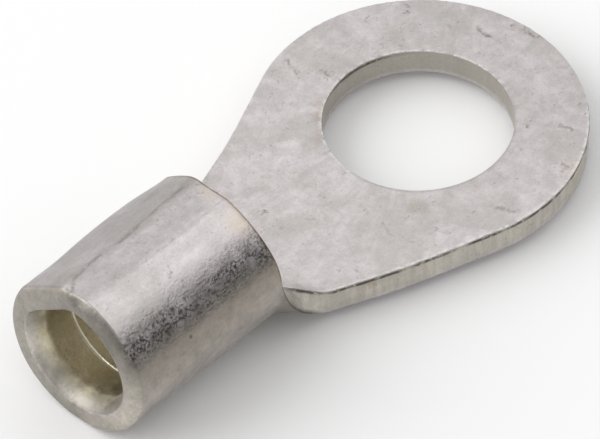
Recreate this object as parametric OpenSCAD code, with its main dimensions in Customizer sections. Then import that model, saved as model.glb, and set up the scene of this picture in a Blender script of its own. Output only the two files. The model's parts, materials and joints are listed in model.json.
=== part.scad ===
// Uninsulated ring terminal, stamped and rolled from one piece of tinned copper sheet.
// Origin: centre of the stud hole on the underside of the tongue. +Z up, wire enters from -X.

/* [Ring] */
// Diameter of the stud hole
hole_d = 6.5; // [5.2:0.1:7.4]
// Outer diameter of the ring around the stud hole
ring_d = 11.4; // [10:0.1:13]
// Thickness of the sheet
sheet_t = 1; // [0.7:0.05:1.2]

/* [Tongue] */
// Distance from the centre of the stud hole to the near end of the barrel
hole_to_barrel = 9.75; // [9:0.05:13]
// Width that the tapered tongue would have at the near end of the barrel
neck_w = 4.9; // [4:0.1:6]
// Length over which the flat sheet rolls up into the barrel
bend_l = 2.6; // [1.8:0.1:3.5]
// Radius of the inner corners of the blank, between tongue and barrel
corner_r = 1.3; // [0.6:0.05:1.6]

/* [Barrel] */
// Inside diameter of the barrel, for the bare conductor
bore_d = 3.8; // [3.4:0.05:4.4]
// Length of the barrel
barrel_l = 6.5; // [5:0.1:9]
// How far the underside of the barrel lies below the underside of the tongue
barrel_drop = 0.4; // [0:0.05:0.6]
// Depth of the bell mouth along the barrel
bell_l = 0.65; // [0.3:0.05:0.9]
// How much the bell mouth widens the bore on each side
bell_w = 0.32; // [0.15:0.01:0.4]
// Rounding of the outer edge at the mouth
mouth_r = 0.25; // [0.1:0.05:0.35]
// Rounding of the outer edge at the near end
heel_r = 0.12; // [0.05:0.01:0.25]

/* [Seam] */
// Width of the flat strip along the brazed seam on top of the barrel
seam_w = 1.4; // [0.8:0.1:1.8]
// Width of the press flat beside the seam
flat_w = 2; // [1:0.1:2.2]
// Angle of the press flat from the vertical
flat_angle = 33; // [28:1:40]

/* [Serrations] */
// Number of grooves round the inside of the barrel
groove_n = 3; // [1:1:4]
// Distance of the first groove from the mouth
groove_start = 1.7; // [1.4:0.1:2]
// Distance from groove to groove
groove_pitch = 1.2; // [0.8:0.1:1.3]
// Depth of a groove
groove_depth = 0.12; // [0.05:0.01:0.2]

/* [Hidden] */
$fn = 96;
cut = 1; // how far a cutter reaches past the face that it opens
ring_r = ring_d / 2;
bore_r = bore_d / 2;
barrel_r = bore_r + sheet_t;
axis_z = barrel_r - barrel_drop;
// the tongue's sides touch the ring and run to the neck's width at the barrel
neck_reach = norm([hole_to_barrel, neck_w / 2]);
taper = asin(ring_r / neck_reach) - atan(neck_w / 2 / hole_to_barrel);
bend_x = hole_to_barrel - bend_l;
// centre of the inner corner of the flat blank, and where its arc leaves the tongue's side
corner_x = hole_to_barrel - corner_r;
corner_y = side_y(corner_x) + corner_r / cos(taper);
corner_end_x = corner_x - corner_r * sin(taper);
// middle surface of the rolled sheet
mid_r = bore_r + sheet_t / 2;
mid_foot_z = axis_z - mid_r;
roll_ease = 1.5; // how softly the roll of the neck runs out into the flat tongue
side_stations = 3; // stations of the neck along its straight sides
corner_stations = 9; // stations of the neck along its rounded corners
across = 20; // strips across the neck
lap = 0.3; // how far the neck reaches into the barrel's wall
lap_in = 0.03; // how far the neck's top stays clear of the bore there
lap_out = 0.01; // how far the neck's underside stays inside the barrel's outside there
// arc of the bell mouth, tangent to the bore
bell_r = (pow(bell_l, 2) + pow(bell_w, 2)) / (2 * bell_w);
bell_angle = asin(bell_l / bell_r);
bell_steps = 8;
edge_steps = 6; // steps round a rounded edge
groove_half = groove_depth * 1.2; // half of a groove's width at the bore
seam_depth = barrel_r - sqrt(pow(barrel_r, 2) - pow(seam_w / 2, 2));
flat_depth = barrel_r - sqrt(pow(barrel_r, 2) - pow(flat_w / 2, 2));

// half width of the flat blank along the tongue's straight side
function side_y(x) = neck_w / 2 + (hole_to_barrel - x) * tan(taper);

// half width of the flat blank from the tongue's side round the inner corner
function blank_y(x) = x <= corner_end_x ? side_y(x)
    : corner_y - sqrt(max(0, pow(corner_r, 2) - pow(x - corner_x, 2)));

// how far the sheet has rolled up: 0 at the flat tongue, 1 at the barrel
function rolled(x) = pow(min(1, (x - bend_x) / bend_l), roll_ease);

// height of the sheet's middle surface on the centre line
function foot_z(x) = sheet_t / 2 + (mid_foot_z - sheet_t / 2) * rolled(x);

// point of the rolled sheet: s along the sheet from the centre line, off out of its middle surface
function sheet_point(x, s, off) =
    let (k = rolled(x) / mid_r, a = k * s * 180 / PI)
    let (y = k < 0.001 ? s : sin(a) / k)
    let (rise = k < 0.001 ? 0 : (1 - cos(a)) / k)
    [-x, -y - off * sin(a), foot_z(x) + rise - off * cos(a)];

// outline of the neck's section at x, round the underside and back over the top
function neck_section(x) =
    let (half = blank_y(min(x, hole_to_barrel)))
    let (under = sheet_t / 2 - lap_out * rolled(x), over = sheet_t / 2 - lap_in * rolled(x))
    [for (j = [0 : across]) sheet_point(x, half * (2 * j / across - 1), under),
     for (j = [across : -1 : 0]) sheet_point(x, half * (2 * j / across - 1), -over)];

// stations along the neck, even on the straight sides and even in angle round the corners
neck_x = concat(
    [for (i = [0 : side_stations - 1]) bend_x + (corner_end_x - bend_x) * i / side_stations],
    [for (i = [0 : corner_stations])
        corner_x + corner_r * sin(-taper + (90 + taper) * i / corner_stations)],
    [hole_to_barrel + lap]);

// flat ring and tongue, up to where the sheet starts to roll
module tongue() {
    linear_extrude(sheet_t)
        difference() {
            union() {
                circle(r = ring_r);
                polygon([
                    [-ring_r * sin(taper), ring_r * cos(taper)],
                    [-bend_x, side_y(bend_x)],
                    [-bend_x, -side_y(bend_x)],
                    [-ring_r * sin(taper), -ring_r * cos(taper)]]);
            }
            circle(d = hole_d);
        }
}

// neck: a loft from the flat tongue to the open side of the rolled barrel
module neck() {
    n = 2 * (across + 1);
    last = (len(neck_x) - 1) * n;
    points = [for (x = neck_x) each neck_section(x)];
    walls = [for (i = [0 : n : last - n], j = [0 : n - 1])
        let (a = i + j, b = i + (j + 1) % n)
        each [[a, b + n, b], [a, a + n, b + n]]];
    // each cap is a strip of triangles between the underside's points and the top's
    caps = [for (j = [0 : across - 1])
        let (k = n - 1 - j)
        each [[j, k - 1, k], [j, j + 1, k - 1],
            [last + j, last + k, last + k - 1], [last + j, last + k - 1, last + j + 1]]];
    polyhedron(points, concat(walls, caps), convexity = 4);
}

// arc of a circle as points, from one angle to another
function arc(centre, r, from, to, steps) =
    [for (i = [0 : steps]) let (a = from + (to - from) * i / steps) centre + r * [cos(a), sin(a)]];

// half profile of the barrel's wall: bore with its grooves, bell mouth, rounded outer edges
module barrel_profile() {
    groove_points = [for (i = [groove_n - 1 : -1 : 0])
        let (z = barrel_l - groove_start - i * groove_pitch)
        each [[bore_r, z - groove_half], [bore_r + groove_depth, z], [bore_r, z + groove_half]]];
    polygon(concat(
        [[bore_r, 0]],
        groove_points,
        arc([bore_r + bell_r, barrel_l - bell_l], bell_r, 180, 180 - bell_angle, bell_steps),
        arc([barrel_r - mouth_r, barrel_l - mouth_r], mouth_r, 90, 0, edge_steps),
        arc([barrel_r - heel_r, heel_r], heel_r, 0, -90, edge_steps)));
}

// rolled barrel, built upright and laid down along -X
module barrel() {
    translate([-hole_to_barrel, 0, axis_z])
        rotate([0, -90, 0])
            difference() {
                rotate_extrude()
                    barrel_profile();
                // flat strip along the seam
                translate([barrel_r - seam_depth, -seam_w, -cut])
                    cube([cut, 2 * seam_w, barrel_l + 2 * cut]);
                // press flat beside the seam
                rotate(flat_angle)
                    translate([barrel_r - flat_depth, -flat_w, -cut])
                        cube([cut, 2 * flat_w, barrel_l + 2 * cut]);
            }
}

module ring_terminal() {
    color([0.78, 0.76, 0.74])
        union() {
            tongue();
            neck();
            barrel();
        }
}

ring_terminal();
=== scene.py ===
import json
import math

import bmesh
import bpy
import numpy as np
from mathutils import Matrix, Vector, kdtree, noise


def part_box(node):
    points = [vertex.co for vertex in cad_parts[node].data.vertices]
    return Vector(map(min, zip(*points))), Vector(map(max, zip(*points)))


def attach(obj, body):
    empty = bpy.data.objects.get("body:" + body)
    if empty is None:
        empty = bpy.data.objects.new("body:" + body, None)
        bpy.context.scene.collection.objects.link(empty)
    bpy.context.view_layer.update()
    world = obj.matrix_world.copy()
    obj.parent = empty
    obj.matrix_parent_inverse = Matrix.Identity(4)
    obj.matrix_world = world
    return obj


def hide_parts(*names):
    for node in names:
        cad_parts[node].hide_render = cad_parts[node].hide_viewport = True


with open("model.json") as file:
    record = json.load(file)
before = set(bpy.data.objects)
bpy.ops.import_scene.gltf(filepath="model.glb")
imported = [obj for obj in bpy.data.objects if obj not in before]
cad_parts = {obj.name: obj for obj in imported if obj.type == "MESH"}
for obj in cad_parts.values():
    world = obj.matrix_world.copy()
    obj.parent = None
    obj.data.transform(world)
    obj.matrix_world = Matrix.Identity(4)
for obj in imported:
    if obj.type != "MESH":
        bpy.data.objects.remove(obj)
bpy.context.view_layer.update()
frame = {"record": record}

print("frame loaded")

mm = 0.001
mounts = {m["name"]: m for m in frame["record"]["mounts"]}
boxLow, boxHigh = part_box("ring_terminal")

# lengths below are millimetres; x runs from the stud hole towards the barrel's mouth
sheet = {
    "holeR": mounts["stud_hole"]["dims"]["r_mm"],
    "thick": mounts["stud_hole"]["dims"]["length_mm"],
    "ringR": boxHigh.x / mm,
    "boreR": mounts["wire_barrel"]["dims"]["r_mm"],
    "axisZ": mounts["wire_barrel"]["pos_m"][2] / mm,
    "mouthX": -boxLow.x / mm,
    "bellX": -mounts["wire_barrel"]["pos_m"][0] / mm,          # inner end of the bell mouth
    "boreL": mounts["wire_barrel"]["dims"]["length_mm"],
    "neckW": 4.7,            # width of the tapered tongue at the barrel
    "bendL": 2.35,           # length over which the sheet rolls up
    "cornerR": 1.18,         # inner corners of the flat blank
    "rollStart": 2.1,        # how gently the roll starts and ends
    "rollEnd": 1.85,
    "bellW": 0.32,
    "edgeR": 0.026,          # softening of the sheared edges
    "ringShift": 0.04,       # the punch stands a little off centre
    "tongueShift": 0.145,
    "shiftGrows": (1.5, 3.5),          # x and length over which the shift grows along the tongue
    "shiftFades": (5, 3),
    "mouthLean": 0.05,       # the mouth is cut a little out of square
    "leanL": 3,
    "leanSoft": 0.5,
    "mouthBulge": 0.08,      # bulge of the mouth's far lower edge
    "mouthBulgeAngle": (-125, 40),     # degrees from the seam, and spread
    "mouthBulgeL": 1.5,
    "heelBulge": 0.2,        # the near side of the barrel reaches a little over the tongue
    "heelBulgeAngle": (80, 34),
    "heelBulgeL": (1.4, 1.5),          # along the neck, and along the barrel
    "wave": 0.012,           # unevenness of the rolled sheet
    "waveSize": 1.1,
}
heelX = sheet["bellX"] - sheet["boreL"]
midR = sheet["boreR"] + sheet["thick"] / 2
barrelR = sheet["boreR"] + sheet["thick"]
bendX = heelX - sheet["bendL"]
midFootZ = sheet["axisZ"] - midR
neckReach = math.hypot(heelX, sheet["neckW"] / 2)
taper = math.asin(sheet["ringR"] / neckReach) - math.atan(sheet["neckW"] / 2 / heelX)


def sideHalf(x):
    return sheet["neckW"] / 2 + (heelX - x) * math.tan(taper)


cornerX = heelX - sheet["cornerR"]
cornerY = sideHalf(cornerX) + sheet["cornerR"] / math.cos(taper)
cornerEndX = cornerX - sheet["cornerR"] * math.sin(taper)


def blankHalf(x):
    if x <= cornerEndX:
        return sideHalf(x)
    return cornerY - math.sqrt(max(0, sheet["cornerR"] ** 2 - (x - cornerX) ** 2))


def rolled(x):
    t = min(1, max(0, (x - bendX) / sheet["bendL"]))
    return 1 - (1 - t ** sheet["rollStart"]) ** sheet["rollEnd"]


def smoothStep(t):
    t = min(1, max(0, t))
    return t * t * (3 - 2 * t)


def eased(x, start, length):
    return smoothStep((x - start) / length)


def hump(value, centre, spread):
    # 1 at the centre, falling off smoothly to both sides
    return np.exp(-((value - centre) / spread) ** 2)


def outlineShift(x):
    toTongue = eased(x, *sheet["shiftGrows"])
    toBarrel = 1 - eased(x, *sheet["shiftFades"])
    return (sheet["ringShift"] + (sheet["tongueShift"] - sheet["ringShift"]) * toTongue) * toBarrel


# ---- relief of the barrel, by angle from the seam (positive towards the near side)

seam = {
    "pressAngle": math.radians(-33),   # press flat beside the seam
    "pressDeep": 0.19,
    "pressHeelShare": 0.55,            # it is shallower at the heel
    "pressHeelL": 1.6,
    "pressMouthDeep": 0.28,            # and deeper just before the mouth
    "pressMouthL": (1, 0.9),
    "pressSoft": 0.02,                 # softness of its edges, and what the heel adds
    "pressHeelSoft": 0.1,
    "stripW": 1.4,                     # flat strip along the seam
    "stripAngle": math.radians(1),
    "stripSoft": 0.05,
    "joinSoft": 0.01,
    "farShoulder": (-60, 24),          # the press also leaves the far shoulder low at both ends
    "farMouth": 0.09,
    "farMouthGrows": (12.8, 2.2),
    "farHeel": 0.12,
    "farHeelL": 1.8,
    # crease and ridge as x and place across the top
    "creases": ((9.75, -0.4), (10.3, -0.74), (11.3, -0.77), (12.4, -0.61), (13.4, -0.55), (13.9, -0.64),
                (14.9, -0.59), (15.6, -0.47), (16.0, -0.15)),
    "ridges": ((9.75, 0.66), (11.0, 0.73), (12.5, 0.73), (13.6, 0.7), (15.0, 0.62), (16.0, 0.54)),
    "creaseDeep": 0.035,
    "creaseW": 0.06,
    "ridgeHigh": 0.02,
    "ridgeW": 0.09,
    "reliefTo": 1,                     # radians to both sides of the seam
    "wornFrom": 0.6,                   # how unevenly crease and ridge show
    "wornBy": 0.8,
    "wornSize": 0.7,
    "strayBy": 0.1,                    # how far they wander
    "straySize": 0.45,
    "heelSink": 0.05,                  # the strip sinks and blurs at the heel
    "heelSinkAcross": (-0.1, 0.45),
    "heelSinkL": 0.5,
    "innerFlat": math.radians(-38),    # the press also flattens the mouth from the inside
    "innerFlatR": 1.7,
    "innerFlatL": 1.4,
    "innerFlatSoft": 0.12,
    "grooveStart": 1.7,
    "groovePitch": 1.2,
    "grooveDeep": 0.04,
    "grooveSlope": 1.5,                # half width of a groove over its depth
    "grooves": 3,
}
grooveHalf = seam["grooveDeep"] * seam["grooveSlope"]
grooveX = [sheet["mouthX"] - seam["grooveStart"] - i * seam["groovePitch"] for i in range(seam["grooves"])]


def along(path, x):
    return float(np.interp(x, [p[0] for p in path], [p[1] for p in path]))


def softMax(a, b, width):
    return 0.5 * (a + b + math.sqrt((a - b) ** 2 + width ** 2))


flatReach = 1.2          # radians from its middle that a flat can cut


def flatCut(angle, centre, radius, deep, soft):
    b = angle - centre
    if abs(b) > flatReach or deep <= 0:
        return 0
    return max(0, softMax(radius - (radius - deep) / math.cos(b), 0, soft) - soft / 2)


def ripple(x, y, z, size):
    # smooth unevenness, within -1 to 1
    return noise.noise(Vector((x / size, y / size, z / size)))


def seamRelief(x, angle):
    q = barrelR * math.sin(angle)
    showing = seam["wornFrom"] + seam["wornBy"] * ripple(x, 3, 0, seam["wornSize"])
    stray = seam["strayBy"] * ripple(x, 7, 0, seam["straySize"])
    cut = seam["creaseDeep"] * showing * hump(q - stray, along(seam["creases"], x), seam["creaseW"])
    cut -= seam["ridgeHigh"] * showing * hump(q - stray, along(seam["ridges"], x), seam["ridgeW"])
    cut += seam["heelSink"] * hump(q, *seam["heelSinkAcross"]) * (1 - eased(x, heelX, seam["heelSinkL"]))
    return cut


def outerCut(x, angle):
    fromHeel = eased(x, heelX, seam["pressHeelL"])
    press = seam["pressDeep"] * (seam["pressHeelShare"] + (1 - seam["pressHeelShare"]) * fromHeel)
    before, length = seam["pressMouthL"]
    press += (seam["pressMouthDeep"] - seam["pressDeep"]) * eased(x, sheet["mouthX"] - before, length)
    strip = barrelR - math.sqrt(barrelR ** 2 - seam["stripW"] ** 2 / 4)
    soft = seam["pressSoft"] + seam["pressHeelSoft"] * (1 - fromHeel)
    cut = softMax(flatCut(angle, seam["pressAngle"], barrelR, press, soft),
                  flatCut(angle, seam["stripAngle"], barrelR, strip, seam["stripSoft"]), seam["joinSoft"])
    cut -= seam["joinSoft"] / 2
    low = seam["farMouth"] * eased(x, *seam["farMouthGrows"])
    low += seam["farHeel"] * (1 - eased(x, heelX, seam["farHeelL"]))
    cut += low * hump(math.degrees(angle), *seam["farShoulder"])
    if abs(angle) < seam["reliefTo"]:
        cut += seamRelief(x, angle)
    return cut


def boreFill(x, angle, radius):
    near = eased(x, sheet["bellX"] - seam["innerFlatL"], seam["innerFlatL"])
    deep = (radius - seam["innerFlatR"]) * near
    fill = flatCut(angle, seam["innerFlat"], radius, deep, seam["innerFlatSoft"])
    for groove in grooveX:
        fill -= seam["grooveDeep"] * max(0, 1 - abs(x - groove) / grooveHalf)
    return fill


barrelFrom = heelX - 0.001
flatBend = 1e-4          # below this bend the sheet counts as flat


def leanAlong(x, angle, radius):
    # how far the two ends stand out along the barrel
    degrees = math.degrees(angle)
    overNeck, overBarrel = sheet["heelBulgeL"]
    atHeel = eased(x, heelX - overNeck, overNeck) * (1 - eased(x, heelX, overBarrel))
    lean = -sheet["heelBulge"] * hump(degrees, *sheet["heelBulgeAngle"]) * atHeel
    if x > barrelFrom:
        low = softMax(-math.cos(angle) * radius, 0, sheet["leanSoft"])
        lean += sheet["mouthLean"] * low * eased(x, sheet["mouthX"] - sheet["leanL"], sheet["leanL"])
        atMouth = eased(x, sheet["mouthX"] - sheet["mouthBulgeL"], sheet["mouthBulgeL"])
        lean += sheet["mouthBulge"] * hump(degrees, *sheet["mouthBulgeAngle"]) * atMouth
    return lean


def sheetPoint(x, s, off):
    # s runs across the flat blank from its centre line, off out of its middle surface
    k = rolled(x) / midR
    a = k * s
    angle = math.copysign(math.pi, s) - a
    lean = leanAlong(x, angle, midR + off)
    if x > barrelFrom:
        level = min(1, max(0, off / sheet["thick"] + 0.5))       # 0 on the bore side, 1 on the outside
        radius = midR + off
        off -= outerCut(x, angle) * level + boreFill(x, angle, radius) * (1 - level)
        off += sheet["wave"] * ripple(x, 9 + 2 * math.cos(a), 2 * math.sin(a), sheet["waveSize"])
    y = s if k < flatBend else math.sin(a) / k
    rise = 0 if k < flatBend else (1 - math.cos(a)) / k
    footZ = sheet["thick"] / 2 + (midFootZ - sheet["thick"] / 2) * rolled(x)
    return (-(x + lean) * mm, (-y - off * math.sin(a)) * mm, (footZ + rise - off * math.cos(a)) * mm)


# ---- the blank: a net of quads over the flat sheet, then given its thickness and rolled

net = {
    "across": 72,          # strips across the tongue
    "neckStart": 5.6,      # where the ring's fan of quads meets the tongue's strips
    "rings": 20,           # rings of quads round the stud hole
    "ringStep": 0.07,      # spacing along the ring's outline
    "cornerSteps": 26,
    "sideStep": 0.08,
    "neckShare": 0.7,      # rows stand closer where the sheet rolls up
    "barrelRows": 58,
    "rowSpread": 1.1,      # above 1 they crowd towards the heel
    "seamStep": 0.03,      # spacing of the columns near the seam
    "seamHalf": 1.05,
    "grooveMarks": (-1.3, -1, -0.5, 0, 0.5, 1, 1.3),        # rows at a groove, in half widths
    "sideLevels": (1, 0.8, 0.5, 0.2, 0.115, 0.055, 0),      # from the underside up to the top
    "sideInsets": (0, 0, 0, 0, 0.035, 0.03, 0),             # the fracture under the burr
}


def spacedColumns():
    return [2 * j / net["across"] - 1 for j in range(net["across"] + 1)]


def outlinePoints():
    # from the near side of the tongue round the ring to its far side
    x0, y0 = net["neckStart"], sideHalf(net["neckStart"])
    tangent = (sheet["ringR"] * math.sin(taper), sheet["ringR"] * math.cos(taper))
    n = round(math.hypot(x0 - tangent[0], y0 - tangent[1]) / net["ringStep"])
    near = [(x0 + (tangent[0] - x0) * i / n, y0 + (tangent[1] - y0) * i / n) for i in range(n)]
    start = math.pi / 2 - taper
    m = round(sheet["ringR"] * 2 * (math.pi - start) / net["ringStep"])
    arc = [start + 2 * (math.pi - start) * i / m for i in range(m + 1)]
    arc = [(sheet["ringR"] * math.cos(a), sheet["ringR"] * math.sin(a)) for a in arc]
    return near + arc + [(x, -y) for x, y in reversed(near)]


def neckRows():
    n = round((bendX - net["neckStart"]) / net["sideStep"])
    rows = [net["neckStart"] + (bendX - net["neckStart"]) * i / n for i in range(n)]
    n = round((cornerEndX - bendX) / (net["sideStep"] * net["neckShare"]))
    rows += [bendX + (cornerEndX - bendX) * i / n for i in range(n)]
    n = net["cornerSteps"]
    turns = [-taper + (math.pi / 2 + taper) * i / n for i in range(n + 1)]
    return rows + [cornerX + sheet["cornerR"] * math.sin(a) for a in turns]


def barrelColumns():
    # places round the rolled sheet from one side of the seam to the other
    half = math.pi * midR
    inner = [cornerY * c for c in spacedColumns()]
    side = half - net["seamHalf"] - cornerY
    n = max(2, round(side * net["across"] / (2 * cornerY)))
    out = [cornerY + side * (i + 1) / n for i in range(n)]
    m = round(net["seamHalf"] / net["seamStep"])
    out += [half - net["seamHalf"] * (1 - (i + 1) / m) for i in range(m)]
    # the last column is the seam itself, shared by both sides
    return [-s for s in reversed(out[:-1])] + inner + out


def boreStations(count):
    # rows along the bore, closer together at the grooves
    marks = [heelX]
    for groove in reversed(grooveX):
        marks += [groove + grooveHalf * f for f in net["grooveMarks"]]
    marks.append(sheet["bellX"])
    while len(marks) < count + 1:
        gaps = [marks[i + 1] - marks[i] for i in range(len(marks) - 1)]
        i = gaps.index(max(gaps))
        marks.insert(i + 1, (marks[i] + marks[i + 1]) / 2)
    return marks


rim = {
    "run": (0.14, 0.24),       # dome of the mouth's face along the barrel, far and near side
    "drop": (0.22, 0.5),
    "crisp": (0.1, 0.42),      # how sharply the dome meets the outside, 0 is tangent
    "nearFrom": (-8, 16),      # degrees from the seam over which the near side's shape sets in
    "nearTo": (95, 40),
    "outside": 9,              # points across the dome, the face and the bell
    "face": 3,
    "bell": 12,
    "ease": 0.04,              # rounding between the face and the bell
    "spare": 0.03,             # plain barrel left before the dome
}
roundEndX = sheet["mouthX"] - max(rim["run"]) - rim["spare"]


def mouthProfile(angle):
    # from the outside round the mouth's edge and the bell to the bore, as (x, radius)
    degrees = math.degrees(angle)
    near = eased(degrees, *rim["nearFrom"]) * (1 - eased(degrees, *rim["nearTo"]))
    run, drop, crisp = (rim[k][0] + (rim[k][1] - rim[k][0]) * near for k in ("run", "drop", "crisp"))
    t, first = sheet["mouthX"], math.pi / 2 * crisp
    points = [(t - run, barrelR)]
    for i in range(1, rim["outside"]):
        a = first + (math.pi / 2 - first) * i / (rim["outside"] - 1)
        rise = (math.sin(a) - math.sin(first)) / (1 - math.sin(first))
        points.append((t - run + run * rise, barrelR - drop + drop * math.cos(a) / math.cos(first)))
    w, bellL = sheet["bellW"], t - sheet["bellX"]
    bellR = (bellL ** 2 + w ** 2) / (2 * w)
    top, ease = sheet["boreR"] + w, rim["ease"]
    # across the face, then round into the bell
    points += [(t, (barrelR - drop + top + ease) / 2), (t, top + ease), (t - ease / 4, top + ease * 0.3)]
    whole = math.asin(bellL / bellR)
    for i in range(1, rim["bell"]):
        a = whole * (1 - i / rim["bell"])
        points.append((sheet["bellX"] + bellR * math.sin(a), sheet["boreR"] + bellR * (1 - math.cos(a))))
    return points


class Blank:
    # nodes as (x outside, x inside, s); quads as node numbers
    def __init__(self):
        self.nodes, self.quads = [], []
        cols, outline, rows = spacedColumns(), outlinePoints(), neckRows()
        self.fan(outline, rows[0], cols)
        n = len(outline)
        # the outline starts on the near side (s > 0) and ends on the far side (s < 0)
        row = [self.last[n - 1]] + self.last[n:] + [self.last[0]]
        for x in rows[1:]:
            half = blankHalf(x)
            row = self.strip(row, [(x, x, half * c + outlineShift(x)) for c in cols], False)
        around = barrelColumns()
        first = next(j for j, s in enumerate(around) if abs(s + cornerY) < 1e-6)
        heel = [row[j - first] if first <= j < first + len(cols) else self.add(heelX, heelX, s)
                for j, s in enumerate(around)]
        inside = boreStations(net["barrelRows"])
        row = heel
        for i in range(1, net["barrelRows"] + 1):
            xo = heelX + (roundEndX - heelX) * (i / net["barrelRows"]) ** net["rowSpread"]
            row = self.strip(row, [(xo, inside[i], s) for s in around], True)
        self.mouth = row

    def add(self, xo, xi, s):
        self.nodes.append((xo, xi, s))
        return len(self.nodes) - 1

    def strip(self, row, places, closed):
        new = [self.add(*p) for p in places]
        count = len(new)
        for j in range(count if closed else count - 1):
            k = (j + 1) % count
            self.quads.append((row[j], row[k], new[k], new[j]))
        return new

    def fan(self, outline, x0, cols):
        edge = outline + [(x0, blankHalf(x0) * c) for c in cols[1:-1]]
        row = None
        for i in range(net["rings"] + 1):
            f = i / net["rings"]
            places = []
            for x, s in edge:
                r = math.hypot(x, s)
                hx, hs = x * sheet["holeR"] / r, s * sheet["holeR"] / r
                px = hx + (x - hx) * f
                places.append((px, px, hs + (s - hs) * f + outlineShift(x) * f))
            row = self.strip(row, places, True) if row else [self.add(*p) for p in places]
        self.last = row


# the burr that the punch leaves, and how the sheared side breaks away under it
torn = {
    "burrHigh": 0.02,
    "burrSize": 0.22,
    "burrFrom": 0.35,        # how unevenly it stands
    "burrBy": 1.3,
    "offHole": 0.2,          # the burr is on the outline, not round the hole
    "offHeel": 0.6,
    "breakFrom": 0.95,       # how unevenly the side breaks, and how deep
    "breakBy": 1.6,
    "breakSize": 0.7,
    "breakEnds": (8.3, 0.9),
    "deepFrom": 0.8,
    "deepBy": 0.9,
    "deepSize": 0.35,
    "farShare": 0.25,        # the far side is broken less
    "sideBy": 1.2,
    "inHole": (97, 26),      # where it breaks inside the hole, in degrees, and the spread
}
holeEdge = sheet["holeR"] + 0.01
ringEnd = 2                  # x from which the outline is the tongue's side
outerZone, innerZone, sideZone, faceZone, bellZone = range(5)      # the last two are at the mouth


def burrAt(x, s):
    if math.hypot(x, s) <= sheet["holeR"] + torn["offHole"] or x >= heelX - torn["offHeel"]:
        return 0
    ragged = torn["burrFrom"] + torn["burrBy"] * ripple(x, s, 2, torn["burrSize"])
    return torn["burrHigh"] * max(0, ragged)


def breakAt(x, s):
    broken = min(1, max(0, torn["breakFrom"] + torn["breakBy"] * ripple(x, s, 5, torn["breakSize"])))
    broken *= 1 - eased(x, *torn["breakEnds"])
    if math.hypot(x, s) <= holeEdge:
        return broken * hump(math.degrees(math.atan2(-s, x)), *torn["inHole"])
    side = s / math.hypot(x, s) if x < ringEnd else math.copysign(1, s)
    return broken * (torn["farShare"] + (1 - torn["farShare"]) * smoothStep(0.5 + torn["sideBy"] * side))


def outwardAt(blank, border):
    # outward direction in the flat blank at each border node
    outward = {}
    for a, b in border:
        dx, ds = blank.nodes[b][0] - blank.nodes[a][0], blank.nodes[b][2] - blank.nodes[a][2]
        for v in (a, b):
            nx, ns = outward.get(v, (0, 0))
            outward[v] = (nx + ds, ns - dx)
    return outward


def buildTerminal():
    blank = Blank()
    t = sheet["thick"]
    verts, faces, zones, notes = [], [], [], []

    def put(x, s, off, lip=0):
        verts.append(sheetPoint(x, s, off))
        notes.append((x, s, 0.5 + off / t, lip))
        return len(verts) - 1

    uses = set()
    for q in blank.quads:
        uses.update(zip(q, q[1:] + q[:1]))
    mouthSet = set(blank.mouth)
    border = [(a, b) for a, b in uses if (b, a) not in uses and not (a in mouthSet and b in mouthSet)]
    edge = {v for pair in border for v in pair}
    outer = [put(xo, s, t / 2) for xo, xi, s in blank.nodes]
    inner = []
    for v, (xo, xi, s) in enumerate(blank.nodes):
        inner.append(put(xi, s, -t / 2 - (burrAt(xo, s) if v in edge else 0)))
    for q in blank.quads:
        faces.append(tuple(outer[v] for v in q))
        faces.append(tuple(inner[v] for v in reversed(q)))
        zones += [outerZone, innerZone]
    ladders = {}
    for v, (nx, ns) in outwardAt(blank, border).items():
        size = math.hypot(nx, ns) or 1
        xo, xi, s = blank.nodes[v]
        steps = [outer[v]]
        broken = breakAt(xo, s)
        uneven = torn["deepFrom"] + torn["deepBy"] * ripple(xo, s, 5, torn["deepSize"])
        for level, inset in zip(net["sideLevels"][1:-1], net["sideInsets"][1:-1]):
            d = -inset * broken * uneven
            lip = broken * inset / net["sideInsets"][-2]
            steps.append(put(xo + nx / size * d, s + ns / size * d, t * (level - 0.5), lip))
        ladders[v] = steps + [inner[v]]
    for a, b in border:
        la, lb = ladders[a], ladders[b]
        for i in range(len(la) - 1):
            faces.append((lb[i], la[i], la[i + 1], lb[i + 1]))
            zones.append(sideZone)
    # the mouth is rings of quads along its profile
    last = [outer[v] for v in blank.mouth]
    profiles = []
    for v in blank.mouth:
        s = blank.nodes[v][2]
        profiles.append(mouthProfile(math.copysign(math.pi, s) - s / midR))
    count = len(blank.mouth)
    for step in range(len(profiles[0]) + 1):
        if step < len(profiles[0]):
            new = [put(profiles[j][step][0], blank.nodes[v][2], profiles[j][step][1] - midR)
                   for j, v in enumerate(blank.mouth)]
        else:
            new = [inner[v] for v in blank.mouth]
        zone = outerZone if step == 0 else faceZone if step < rim["outside"] + rim["face"] else bellZone
        for j in range(count):
            k = (j + 1) % count
            faces.append((last[j], last[k], new[k], new[j]))
            zones.append(zone)
        last = new
    mesh = bpy.data.meshes.new("terminal_sheet")
    mesh.from_pydata(verts, [], faces)
    return mesh, zones, notes


sharpFrom = math.radians(55)


def softenEdges(mesh):
    bm = bmesh.new()
    bm.from_mesh(mesh)
    bmesh.ops.recalc_face_normals(bm, faces=bm.faces)
    sharp = [e for e in bm.edges if len(e.link_faces) == 2 and e.calc_face_angle() > sharpFrom]
    bmesh.ops.bevel(bm, geom=sharp, offset=sheet["edgeR"] * mm, offset_type="OFFSET", segments=2,
                    profile=0.5, affect="EDGES", clamp_overlap=True, material=-1)
    for f in bm.faces:
        f.smooth = True
    bm.to_mesh(mesh)
    bm.free()
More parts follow.
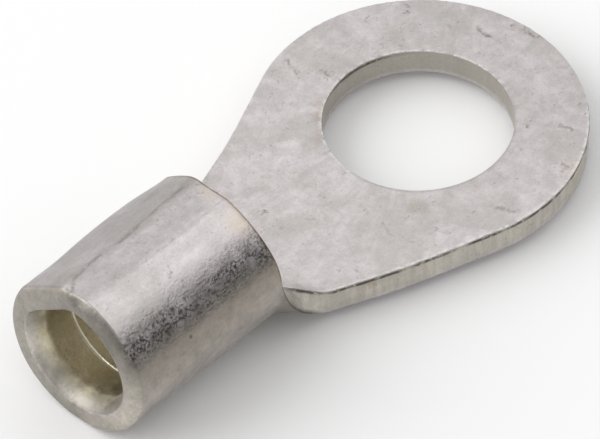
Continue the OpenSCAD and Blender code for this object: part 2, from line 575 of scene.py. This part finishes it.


# where the finish and the painted light and shade change; angles in degrees from the seam, positive on the
# near side
wearAndPaintedLight = {
    "flankFrom": (54, 12),       # start and ease of the barrel's sides, painted darker: painted shade with a duller tint
    "flankFades": (78, 25),
    "flankFadeBy": 0.25,
    "underNeck": (7.4, 1.4),
    "neckEdge": (8, 0.4),
    "band": (54, 12),            # middle and spread of the dark grain, a painted dark reflection
    "creaseW": 0.07,
    "ridgeW": 0.05,
    "pressedFrom": (-8, -5),     # a negative ease runs towards smaller angles
    "pressedTo": (-75, 20),
    "heelW": 0.13,
    "heelTo": (95, -20),
    "stripL": 1.2,
    "burnish": (0.5, 0.86),      # which way the edges with the painted highlight face
    "burnishBy": 2.2,
    "bellInside": (0.45, 0.35),  # how far in the bell starts to look like the bore
    # painted light and shade: brightness by angle
    "face": ((-180, 0.9), (-120, 1), (-60, 0.94), (-20, 0.9), (10, 0.68), (45, 0.6), (70, 0.85), (95, 1.3),
             (130, 1.35), (180, 0.92)),
    "bell": ((-180, 1), (-151, 0.75), (-115, 1.7), (-89, 0.95), (-40, 1), (0, 0.9), (50, 0.55), (110, 0.7),
             (159, 0.7), (180, 1)),
    # painted shade: the press flat and the side of the barrel just below the top are painted darker in place
    # of darker reflections, the press flat also a little duller
    "outside": ((-80, 1), (-62, 0.76), (-45, 0.72), (-40, 0.7), (-30, 0.76), (-20, 0.8), (-14, 0.8),
                (-10, 0.89), (-5, 1), (30, 1), (40, 0.88), (46, 0.85), (50, 1), (55, 0.86), (61, 0.66),
                (70, 0.77), (80, 0.83), (88, 0.94), (97, 1)),
    "boreShade": (62, 45, 0.5),  # middle, spread and depth of the shade inside
    "boreShadeL": (1.2, 1),
}


def addMask(mesh, name, values):
    layer = mesh.attributes.new(name, "FLOAT", "POINT")
    layer.data.foreach_set("value", np.asarray(values, np.float32))


def through(pairs, values):
    return np.interp(values, *zip(*pairs))


def climb(values, start, length):
    return np.clip((values - start) / length, 0, 1)


def takeNotes(mesh, before, zones, notes):
    # each point takes the notes of the nearest point of the blank it came from
    share = np.zeros((len(before.vertices), bellZone + 1))
    for p, zone in zip(before.polygons, zones):
        for v in p.vertices:
            share[v, zone] += 1
    share /= np.maximum(share.sum(1, keepdims=True), 1)
    tree = kdtree.KDTree(len(before.vertices))
    for v in before.vertices:
        tree.insert(v.co, v.index)
    tree.balance()
    near = np.array([tree.find(v.co)[1] for v in mesh.vertices])
    return share[near], np.array(notes)[near]


def markSheet(mesh, share, x, s, level, lip):
    side = share[:, sideZone]
    onEdge = (side > 0.1) * (side < 0.9)
    inHole = np.hypot(x, s) < holeEdge
    # which way each edge of the blank faces: the painted highlight goes on the near edges, not on the far
    # ones
    faceX = np.where(x > ringEnd, 0, -x / np.hypot(x, s))
    faceY = np.where(x > ringEnd, np.sign(-s), -s / np.hypot(x, s))
    turned = np.where(inHole, 1, -1) * (wearAndPaintedLight["burnish"][0] * faceX + wearAndPaintedLight["burnish"][1] * faceY)
    addMask(mesh, "sheared", climb(side, 0.6, 0.3))
    # painted highlight along the top edges of the blank
    addMask(mesh, "rim", onEdge * (level < 0.1) * (x < heelX) * np.clip(turned * wearAndPaintedLight["burnishBy"], 0, 1))
    # painted shade along the sheared edge at the neck
    addMask(mesh, "neckEdge", onEdge * (level > 0.9) * climb(x, *wearAndPaintedLight["neckEdge"]) * (np.abs(s) > 1))
    # painted shade under the burr, where the side breaks away
    addMask(mesh, "lip", np.clip(lip, 0, 1))
    addMask(mesh, "wall", (level < 0.99) * inHole)


def markBarrel(mesh, x, level, angle, onBarrel, outside):
    turn, degrees = np.degrees(angle), np.degrees(np.abs(angle))
    q = barrelR * np.sin(angle) + 9 * (np.abs(angle) > 1.3)          # place across the top, far off elsewhere
    crease, ridge = through(seam["creases"], x), through(seam["ridges"], x)
    side = climb(degrees, *wearAndPaintedLight["flankFrom"])
    side = side * (1 - wearAndPaintedLight["flankFadeBy"] * climb(degrees, *wearAndPaintedLight["flankFades"]))
    # painted shade on the underside of the neck
    under = (1 - onBarrel) * (level > 0.9) * climb(x, *wearAndPaintedLight["underNeck"])
    across = (q - crease) / (ridge - crease)
    strip = np.clip(across * 8, 0, 1) * np.clip((1 - across) * 5, 0, 1) * (0.45 + 0.55 * across)
    addMask(mesh, "drawn", outside)
    # painted shade on the barrel's sides, with a duller tint
    addMask(mesh, "flank", outside * side + under)
    # painted dark reflection along the near flank, shown as dark grain
    addMask(mesh, "band", outside * hump(turn, *wearAndPaintedLight["band"]))
    addMask(mesh, "crease", outside * hump(q, crease, wearAndPaintedLight["creaseW"]))
    addMask(mesh, "strip", outside * strip * climb(x, heelX, wearAndPaintedLight["stripL"]))
    # painted shadow beside the seam's ridge
    addMask(mesh, "ridge", outside * hump(q, ridge - wearAndPaintedLight["ridgeW"], wearAndPaintedLight["ridgeW"]))
    # painted shade on the press flat beside the seam, partly a duller finish
    addMask(mesh, "pressed", outside * climb(turn, *wearAndPaintedLight["pressedFrom"]) * climb(turn, *wearAndPaintedLight["pressedTo"]))
    addMask(mesh, "heel", outside * hump(x, heelX, wearAndPaintedLight["heelW"]) * climb(degrees, *wearAndPaintedLight["heelTo"]))


def markMouth(mesh, share, x, level, angle, onBarrel, outside):
    turn = np.degrees(angle)
    face, bell = share[:, faceZone], share[:, bellZone]
    inward, ease = wearAndPaintedLight["bellInside"]
    addMask(mesh, "mouth", face)
    addMask(mesh, "bell", bell)
    addMask(mesh, "bore", onBarrel * np.clip(1 - level * 3, 0, 1) * (x < sheet["bellX"] + 0.05))
    # painted shade in the crease where the mouth's dome meets the barrel
    addMask(mesh, "rimLine", 4 * share[:, outerZone] * face)
    addMask(mesh, "bellLine", 4 * face * bell)
    addMask(mesh, "bellIn", bell * climb(x, sheet["bellX"] + inward, -ease))
    # painted light and shade: how bright the face, the bell and the barrel are painted, by angle
    middle, spread, deep = wearAndPaintedLight["boreShade"]
    back, length = wearAndPaintedLight["boreShadeL"]
    inBore = onBarrel * (level < 0.2) * climb(x, sheet["bellX"] - back, length)
    rest = 1 - deep * inBore * hump(turn, middle, spread)
    rest = rest * (1 + outside * (through(wearAndPaintedLight["outside"], turn) - 1))
    addMask(mesh, "tone", face * through(wearAndPaintedLight["face"], turn) + bell * through(wearAndPaintedLight["bell"], turn)
            + (1 - face - bell) * rest)


def markZones(mesh, before, zones, notes):
    share, notes = takeNotes(mesh, before, zones, notes)
    x, s, level, lip = notes.T
    angle = np.copysign(math.pi, s) - s / midR
    onBarrel = climb(x, heelX - 0.1, 0.1)
    outside = onBarrel * climb(level, 0.75, 0.25)
    markSheet(mesh, share, x, s, level, lip)
    markBarrel(mesh, x, level, angle, onBarrel, outside)
    markMouth(mesh, share, x, level, angle, onBarrel, outside)


terminalMesh, zones, notes = buildTerminal()
before = terminalMesh.copy()
softenEdges(terminalMesh)
markZones(terminalMesh, before, zones, notes)
bpy.data.meshes.remove(before)
terminal = bpy.data.objects.new("terminal_sheet", terminalMesh)
bpy.context.scene.collection.objects.link(terminal)
print("sheet rolled:", len(terminalMesh.polygons), "faces")


# ---- finish, with painted light and shade

tin = {
    "pale": (0.795, 0.735, 0.742, 1),
    "grey": (0.67, 0.635, 0.62, 1),
    "strip": (0.56, 0.52, 0.52, 1),        # the brazed seam
    "fleck": (0.28, 0.26, 0.235, 1),
    "bright": (0.97, 0.95, 0.92, 1),       # painted highlight on the top edges
    "sheared": (0.585, 0.55, 0.485, 1),
    "handled": (0.34, 0.305, 0.255, 1),    # the barrel's sides: painted shade in place of the dark floor they reflect, with a duller, browner tint
    "cut": (0.36, 0.335, 0.29, 1),         # the mouth's face and bell
    # painted shade: dark grain, lines and pits where shade falls
    "crevice": (0.07, 0.063, 0.05, 1),
    "bore": (0.74, 0.69, 0.54, 1),
    "rust": (0.42, 0.31, 0.21, 1),
    "straw": (0.84, 0.72, 0.55, 1),
    "rough": (0.28, 0.41),   # bright and dull patches
    "roughCut": 0.14,        # added on the sheared sides and the mouth
    "roughBell": 0.25,
    "patches": 0.3,          # how strongly the tone varies
    "blotches": 0.7,         # added on the dull zones
    "speckle": 0.3,
    "drift": 0.35,
    "streaks": (0.55, 0.15), # on the outer sides and in the hole
    # painted shade inside the stud hole
    "holeDark": 0.83,
    "ends": (-4.0, 4.5, 1.0, 0.93),    # the ring's outer end is a little darker
    "stripBy": 0.75,         # strength of each zone's own colour
    "pressedBy": 0.16,
    "zoneBy": 0.9,
    "patchyBy": 0.55,
    "speckBy": 0.35,
    "pepperBy": 0.88,
    "scratchBy": 0.14,
    "cloud": 0.7,            # patches per millimetre, from large to small
    "mottle": 2.6,
    "pits": 5.5,
    "grain": 10,
    "flankGrain": 0.012,     # height of the grain in millimetres
    "topGrain": 0.01,
    "mottleHigh": 0.014,
}
# direction, place in the noise and fineness of each set of scratches
scratchSets = ((0.6, (3, 7, 1), 16), (-0.5, (11, 2, 5), 20), (1.5, (5, 13, 9), 14))

# rubbed marks on the tongue: x, y, length, direction in degrees, half width, strength
marks = (
    (4.5, 0.8, 1.3, 92, 0.1, 0.5), (5.5, 0.1, 1.1, 106, 0.12, 0.45), (-1.1, 4.8, 0.9, 68, 0.08, 0.35),
    (3.5, 3.85, 0.35, 40, 0.12, 0.45), (2.45, -2.88, 0.5, 10, 0.08, 0.4), (-0.45, 3.87, 0.3, 100, 0.08, 0.45),
    (3.1, -4.0, 0.6, 95, 0.1, 0.35), (1.8, -5.1, 0.3, 115, 0.08, 0.35), (-1.05, -4.9, 0.9, 110, 0.12, 0.25),
    (-4.15, 2.85, 0.5, 70, 0.09, 0.3), (-6.6, 0.9, 0.15, 0, 0.07, 0.6), (-4.4, -2.6, 0.5, 60, 0.07, 0.22),
)
# stains and painted light: place, radius, colour, strength; the small ones stay round
stainsAndPaintedLight = (
    ((-1.5, 2.85, 1), 0.5, "rust", 0.3), ((-2.1, 2.5, 1), 0.45, "rust", 0.35),
    ((-2.8, 1.9, 1), 0.5, "rust", 0.28), ((-2.95, -2.7, 1), 0.55, "rust", 0.22),
    # the two straw stains at the heel are a painted warm highlight where the barrel curves down
    ((-9.9, -1.5, 5.0), 0.85, "straw", 0.45),
    ((-9.8, -0.1, 5.35), 0.6, "straw", 0.35), ((2.0, -5.4, 0.9), 0.6, "straw", 0.3),
    ((-16.0, 1.0, 5.1), 0.4, "rust", 0.25), ((-15.5, 1.7, 4.75), 0.4, "rust", 0.22),
    ((-15.6, 0.7, 5.2), 0.3, "rust", 0.25), ((-6.3, -3.75, 0.7), 0.22, "rust", 0.6),
    # painted shade in small pits
    ((-13.63, -2.76, 3.38), 0.1, "crevice", 0.75), ((-13.08, -1.41, 5.0), 0.09, "crevice", 0.55),
    ((-9.73, -0.15, 5.35), 0.09, "crevice", 0.6),
)


class Shade:
    # short names for the nodes used below; every value is a socket or a number
    def __init__(self, tree):
        self.tree = tree

    def node(self, kind, **inputs):
        n = self.tree.nodes.new(kind)
        for key, value in inputs.items():
            self.feed(n.inputs[key.replace("_", " ")], value)
        return n

    def feed(self, socket, value):
        if isinstance(value, bpy.types.NodeSocket):
            self.tree.links.new(value, socket)
        else:
            socket.default_value = value

    def math(self, operation, a, b=0.0, clamp=False):
        n = self.tree.nodes.new("ShaderNodeMath")
        n.operation, n.use_clamp = operation, clamp
        self.feed(n.inputs[0], a)
        self.feed(n.inputs[1], b)
        return n.outputs[0]

    def vector(self, operation, a, b, out=0):
        n = self.tree.nodes.new("ShaderNodeVectorMath")
        n.operation = operation
        self.feed(n.inputs[0], a)
        self.feed(n.inputs["Scale" if operation == "SCALE" else 1], b)
        return n.outputs[out]

    def ramp(self, value, low, high, toLow=0.0, toHigh=1.0):
        n = self.node("ShaderNodeMapRange", Value=value)
        n.interpolation_type = "SMOOTHSTEP"
        for key, number in (("From Min", low), ("From Max", high), ("To Min", toLow), ("To Max", toHigh)):
            self.feed(n.inputs[key], number)
        return n.outputs[0]

    def mix(self, factor, a, b):
        n = self.tree.nodes.new("ShaderNodeMix")
        n.data_type = "RGBA"
        self.feed(n.inputs[0], factor)
        self.feed(n.inputs[6], a)
        self.feed(n.inputs[7], b)
        return n.outputs[2]

    def noise(self, vector, scale, detail=2.0, roughness=0.5, out=0):
        return self.node("ShaderNodeTexNoise", Vector=vector, Scale=scale, Detail=detail,
                         Roughness=roughness).outputs[out]

    def mask(self, name):
        n = self.tree.nodes.new("ShaderNodeAttribute")
        n.attribute_name = name
        return n.outputs["Fac"]

    def place(self, vector, scale=(1, 1, 1), turn=0.0, move=(0, 0, 0)):
        return self.node("ShaderNodeMapping", Vector=vector, Scale=scale, Rotation=(0, 0, turn),
                         Location=move).outputs[0]


def newMaterial(name):
    mat = bpy.data.materials.new(name)
    mat.use_nodes = True
    mat.node_tree.nodes.clear()
    s = Shade(mat.node_tree)
    shader = s.node("ShaderNodeBsdfPrincipled")
    out = s.node("ShaderNodeOutputMaterial")
    s.tree.links.new(shader.outputs[0], out.inputs[0])
    return mat, s, shader


def scratches(s, spot, turn, seedMove, fine):
    # long thin streaks: a noise stretched along one direction
    streak = s.noise(s.place(s.place(spot, turn=turn), scale=(0.5, fine, 0.5), move=seedMove), 1.0, 2.0, 0.6)
    here = s.noise(s.place(spot, move=seedMove), 0.45, 1.0)
    return s.math("MULTIPLY", s.ramp(streak, 0.64, 0.72), s.ramp(here, 0.5, 0.62))


def weighted(s, *pairs):
    # 1 on average, moved up and down by each (weight, noise)
    total = 1.0
    for weight, value in pairs:
        total = s.math("ADD", total, s.math("MULTIPLY", s.math("SUBTRACT", value, 0.5), weight))
    return total


def times(s, *values):
    product = values[0]
    for v in values[1:]:
        product = s.math("MULTIPLY", product, v)
    return product


class Plate:
    # the noises that the finish is made of
    def __init__(self, s):
        coords = s.tree.nodes.new("ShaderNodeTexCoord").outputs["Object"]
        self.spot = s.vector("SCALE", coords, 1 / mm)
        wobble = s.vector("SUBTRACT", s.noise(self.spot, 2.2, 3.0, 0.6, out=1), (0.5, 0.5, 0.5))
        self.bent = s.vector("ADD", self.spot, s.vector("SCALE", wobble, 0.7))
        self.cloud = s.noise(self.spot, tin["cloud"], 4.0, 0.6)
        self.mottle = s.noise(self.spot, tin["mottle"], 4.0, 0.65)
        self.pits = s.noise(self.spot, tin["pits"], 3.0, 0.7)
        self.grain = s.noise(self.spot, tin["grain"], 2.0, 0.6)
        # patches drawn out along the barrel
        self.swept = s.noise(s.place(self.spot, scale=(0.9, 3.2, 3.2)), 1.0, 3.0, 0.6)
        # the punch drags down the sheared sides
        self.streaks = s.noise(s.place(self.spot, scale=(4, 4, 0.4)), 1.0, 2.0, 0.6)
        self.face = s.math("MAXIMUM", s.mask("mouth"), s.mask("bell"))


def zoneColour(s, plate):
    colour = s.mix(s.ramp(plate.cloud, 0.38, 0.62), tin["grey"], tin["pale"])
    colour = s.mix(s.math("MULTIPLY", s.ramp(plate.mottle, 0.6, 0.36), 0.4), colour, tin["grey"])
    colour = s.mix(s.math("MULTIPLY", s.mask("strip"), tin["stripBy"]), colour, tin["strip"])
    # the press flat is painted darker: painted shade, partly a duller finish
    colour = s.mix(s.math("MULTIPLY", s.mask("pressed"), tin["pressedBy"]), colour, tin["handled"])
    # the barrel's sides take painted shade with a duller tint
    zones = ((s.mask("flank"), "handled"), (plate.face, "cut"), (s.mask("sheared"), "sheared"),
             (s.mask("bore"), "bore"), (s.mask("bellIn"), "bore"))
    for zone, paint in zones:
        colour = s.mix(s.math("MULTIPLY", zone, tin["zoneBy"]), colour, tin[paint])
    # painted light and shade by angle round the barrel and the mouth
    return s.vector("SCALE", colour, s.mask("tone"))


def patched(s, plate, colour):
    # light and dark patches of every size, over all zones
    dull = s.math("ADD", s.mask("flank"), plate.face, clamp=True)
    blotch = s.math("ADD", s.math("MULTIPLY", dull, tin["blotches"]), tin["patches"])
    drift = s.math("MULTIPLY", s.mask("drawn"), tin["drift"])
    shade = weighted(s, (blotch, plate.mottle), (tin["speckle"], plate.pits), (tin["speckle"], plate.grain),
                     (drift, plate.swept))
    lengthwise = s.node("ShaderNodeSeparateXYZ", Vector=plate.spot).outputs[0]
    # painted shade darkens the wall of the stud hole
    wall = s.mask("wall")
    shade = times(s, shade, s.ramp(lengthwise, *tin["ends"]), s.ramp(wall, 0.0, 1.0, 1.0, tin["holeDark"]))
    dragged = times(s, s.mask("sheared"), s.ramp(wall, 0.0, 1.0, *tin["streaks"]))
    shade = s.math("MULTIPLY", shade, weighted(s, (dragged, plate.streaks)))
    return s.vector("SCALE", colour, shade)


def flecked(s, plate, colour):
    here = s.ramp(s.noise(plate.spot, 1.1, 2.0), 0.42, 0.62)
    colour = s.mix(times(s, s.ramp(plate.pits, 0.53, 0.72), here, tin["patchyBy"]), colour, tin["fleck"])
    speck = times(s, s.ramp(plate.grain, 0.6, 0.72), s.ramp(plate.mottle, 0.62, 0.4), tin["speckBy"])
    colour = s.mix(speck, colour, tin["fleck"])
    # painted dark reflection on the near flank, broken up into a dense dark grain
    pepper = s.math("ADD", s.math("MULTIPLY", plate.grain, 0.6), s.math("MULTIPLY", plate.pits, 0.4))
    pepper = s.ramp(pepper, 0.46, 0.56)
    showing = times(s, s.mask("band"), pepper, s.ramp(plate.swept, 0.3, 0.55), tin["pepperBy"])
    colour = s.mix(showing, colour, tin["crevice"])
    for turn, move, fine in scratchSets:
        scratched = s.math("MULTIPLY", scratches(s, plate.spot, turn, move, fine), tin["scratchBy"])
        colour = s.mix(scratched, colour, tin["fleck"])
    return colour


def rubbed(s, plate, colour):
    # each mark is a short wavering line
    for x, y, length, direction, half, strength in marks:
        a = math.radians(direction)
        start = tuple(Matrix.Rotation(-a, 3, "Z") @ Vector((-x, -y, 0)))
        split = s.node("ShaderNodeSeparateXYZ", Vector=s.place(plate.bent, turn=-a, move=start))
        endOn = s.math("MAXIMUM", s.math("SUBTRACT", s.math("ABSOLUTE", split.outputs[0]), length / 2), 0)
        reach = s.math("SQRT", s.math("ADD", s.math("POWER", endOn, 2), s.math("POWER", split.outputs[1], 2)))
        line = times(s, s.ramp(reach, half * 1.7, half * 0.2), s.ramp(plate.mottle, 0.38, 0.54),
                     s.ramp(plate.pits, 0.4, 0.52), s.ramp(split.outputs[2], 0.5, 0.9), strength * 1.7)
        colour = s.mix(line, colour, tin["fleck"])
    return colour


def stainedAndLit(s, plate, colour):
    for centre, radius, paint, strength in stainsAndPaintedLight:
        away = s.vector("DISTANCE", plate.bent if radius > 0.15 else plate.spot, centre, out="Value")
        colour = s.mix(s.math("MULTIPLY", s.ramp(away, radius, radius * 0.2), strength), colour, tin[paint])
    return colour


def lined(s, plate, colour):
    # lines along the edges: a dark joint in the crease, a brown heel line and a darker line where the face
    # meets the bell, with painted shade beside the ridge, at the neck, in the mouth's crease and under the
    # burr, and a painted highlight on the top edges
    def broken(name, strength, grains, low, high):
        return times(s, s.mask(name), s.ramp(grains, low, high), strength)

    ridge = times(s, broken("ridge", 0.35, plate.pits, 0.44, 0.58), s.ramp(plate.mottle, 0.4, 0.55))
    lines = (
        (broken("crease", 0.7, plate.mottle, 0.38, 0.55), "fleck"),
        (ridge, "fleck"),
        (broken("neckEdge", 0.95, plate.pits, 0.2, 0.45), "crevice"),
        (broken("bellLine", 0.6, plate.pits, 0.38, 0.55), "fleck"),
        (broken("heel", 0.5, plate.mottle, 0.35, 0.6), "rust"),
        (broken("rimLine", 0.6, plate.pits, 0.4, 0.6), "fleck"),
        (broken("rim", 0.9, plate.pits, 0.35, 0.6), "bright"),
        (broken("lip", 0.92, plate.pits, 0.3, 0.5), "crevice"),
    )
    for shown, paint in lines:
        colour = s.mix(shown, colour, tin[paint])
    return colour


def tinFinish():
    mat, s, shader = newMaterial("dullTinPlate")
    shader.inputs["Metallic"].default_value = 1
    plate = Plate(s)
    colour = zoneColour(s, plate)
    for layer in (patched, flecked, rubbed, stainedAndLit, lined):
        colour = layer(s, plate, colour)
    s.feed(shader.inputs["Base Color"], colour)

    rough = s.ramp(plate.mottle, 0.3, 0.7, *tin["rough"])
    cut = s.math("MAXIMUM", s.mask("sheared"), plate.face)
    rough = s.math("ADD", rough, s.math("MULTIPLY", cut, tin["roughCut"]))
    rough = s.math("ADD", rough, s.math("MULTIPLY", s.mask("bellIn"), tin["roughBell"]))
    s.feed(shader.inputs["Roughness"], rough)

    grainHigh = s.ramp(s.mask("drawn"), 0, 1, tin["topGrain"], tin["flankGrain"])
    height = s.math("MULTIPLY", plate.grain, grainHigh)
    height = s.math("ADD", height, s.math("MULTIPLY", plate.mottle, tin["mottleHigh"]))
    bump = s.node("ShaderNodeBump", Height=height, Strength=1.0, Distance=mm)
    s.feed(shader.inputs["Normal"], bump.outputs[0])
    return mat


terminalMesh.materials.clear()
terminalMesh.materials.append(tinFinish())
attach(terminal, "root")
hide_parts("ring_terminal")
print("finish applied")


# ---- floor, light and camera

studio = {
    "middle": (-0.0055, 0, 0),
    "floorHalf": 1.5,
    "floorGap": 0.00001,
    "floorColour": (0.86, 0.86, 0.86, 1),
    "floorShown": (0.94, 0.94, 0.94, 1),   # the same paper as the camera and the metal see it
    "floorShade": (0.6, 0.6, 0.6, 1),      # painted pool of light: the floor's colour falls off to grey round the white middle
    "whiteRadius": (0.017, 0.04),
    "skyTop": 0.8,
    "skyFar": 0.7,
    "skyNear": 0.3,
    "skyTurn": (-0.3, 0.6),                # from the near side of the sky to its far side
    "skyRise": (0.0, 0.5),
    "overToward": (0.48, -0.35, 0.8),      # a soft patch overhead, with its edge and core
    "overEdge": (0.82, 0.97),
    "skyOver": 0.17,
    "cardToward": (0.48, -0.86, 0.12),     # dark card beside the barrel
    "cardEdge": (0.8, 0.985),
    "cardDark": 0.85,
    "keyFrom": (-0.36, 0.38, 0.34),
    "keyAim": (-0.005, 0, 0),
    "keySize": 0.75,
    "keyRadiance": 1.85,
}


def buildFloor():
    half = studio["floorHalf"]
    z = boxLow.z - studio["floorGap"]
    mesh = bpy.data.meshes.new("studio_floor")
    corners = [(-half, -half, z), (half, -half, z), (half, half, z), (-half, half, z)]
    mesh.from_pydata(corners, [], [(0, 1, 2, 3)])
    mat, s, shader = newMaterial("floorPaper")
    shader.inputs["Roughness"].default_value = 0.95
    shader.inputs["Specular IOR Level"].default_value = 0
    path = s.tree.nodes.new("ShaderNodeLightPath").outputs
    shown = s.math("ADD", path["Is Camera Ray"], path["Is Glossy Ray"])
    shown = s.math("ADD", shown, path["Is Transmission Ray"], clamp=True)
    coords = s.tree.nodes.new("ShaderNodeTexCoord").outputs["Object"]
    centre = (studio["middle"][0], studio["middle"][1], z)
    # painted pool of light: the floor turns grey away from the middle
    fall = s.ramp(s.vector("DISTANCE", coords, centre, out="Value"), *studio["whiteRadius"])
    paper = s.mix(shown, studio["floorColour"], studio["floorShown"])
    s.feed(shader.inputs["Base Color"], s.mix(fall, paper, studio["floorShade"]))
    mesh.materials.append(mat)
    floor = bpy.data.objects.new("studio_floor", mesh)
    bpy.context.scene.collection.objects.link(floor)


def buildWorld():
    world = bpy.data.worlds.new("studio")
    bpy.context.scene.world = world
    world.use_nodes = True
    s = Shade(world.node_tree)
    toward = s.tree.nodes.new("ShaderNodeTexCoord").outputs["Generated"]
    split = s.node("ShaderNodeSeparateXYZ", Vector=toward)
    low = s.ramp(split.outputs[1], *studio["skyTurn"], studio["skyNear"], studio["skyFar"])
    up = s.ramp(split.outputs[2], *studio["skyRise"])
    sky = s.math("MULTIPLY", low, s.math("SUBTRACT", 1.0, up))
    sky = s.math("ADD", sky, s.math("MULTIPLY", up, studio["skyTop"]))

    def facing(direction):
        return s.vector("DOT_PRODUCT", toward, tuple(Vector(direction).normalized()), out="Value")

    over = s.ramp(facing(studio["overToward"]), *studio["overEdge"], 0.0, studio["skyOver"])
    card = s.ramp(facing(studio["cardToward"]), *studio["cardEdge"], 1.0, 1 - studio["cardDark"])
    sky = s.math("ADD", sky, over)
    back = s.tree.nodes["Background"]
    back.inputs[0].default_value = (1, 1, 1, 1)
    s.feed(back.inputs[1], s.math("MULTIPLY", sky, card))


def softLight(name, place, aim, size, radiance):
    data = bpy.data.lights.new(name, "AREA")
    data.shape = "DISK"
    data.size = size
    data.energy = radiance * math.pi ** 2 * size ** 2 / 4
    lamp = bpy.data.objects.new(name, data)
    lamp.location = place
    lamp.rotation_euler = (Vector(aim) - Vector(place)).to_track_quat("-Z", "Y").to_euler()
    bpy.context.scene.collection.objects.link(lamp)


view = {
    "azimuth": -44.7146,       # 0 looks along +Y
    "elevation": 47.0148,
    "roll": -2.1952,
    "distance": 0.23335,
    "target": (-0.0053174, 0.0004464, 0),
    "lens": 420,
    "sensor": 36,
    "clip": (0.01, 20),
}


def placeCamera():
    az, el = math.radians(view["azimuth"]), math.radians(view["elevation"])
    away = Vector((math.sin(az) * math.cos(el), -math.cos(az) * math.cos(el), math.sin(el)))
    right = (-away).cross(Vector((0, 0, 1))).normalized()
    up = right.cross(-away)
    turn = math.radians(view["roll"])
    rolledRight = right * math.cos(turn) + up * math.sin(turn)
    rolledUp = up * math.cos(turn) - right * math.sin(turn)
    data = bpy.data.cameras.new("camera")
    data.lens = view["lens"]
    data.sensor_width = view["sensor"]
    data.clip_start, data.clip_end = view["clip"]
    camera = bpy.data.objects.new("camera", data)
    place = Matrix.Translation(Vector(view["target"]) + away * view["distance"])
    camera.matrix_world = place @ Matrix((rolledRight, rolledUp, away)).transposed().to_4x4()
    bpy.context.scene.collection.objects.link(camera)
    bpy.context.scene.camera = camera


buildFloor()
buildWorld()
softLight("key", studio["keyFrom"], studio["keyAim"], studio["keySize"], studio["keyRadiance"])
placeCamera()
bpy.context.scene.view_settings.view_transform = "Standard"
print("studio ready")
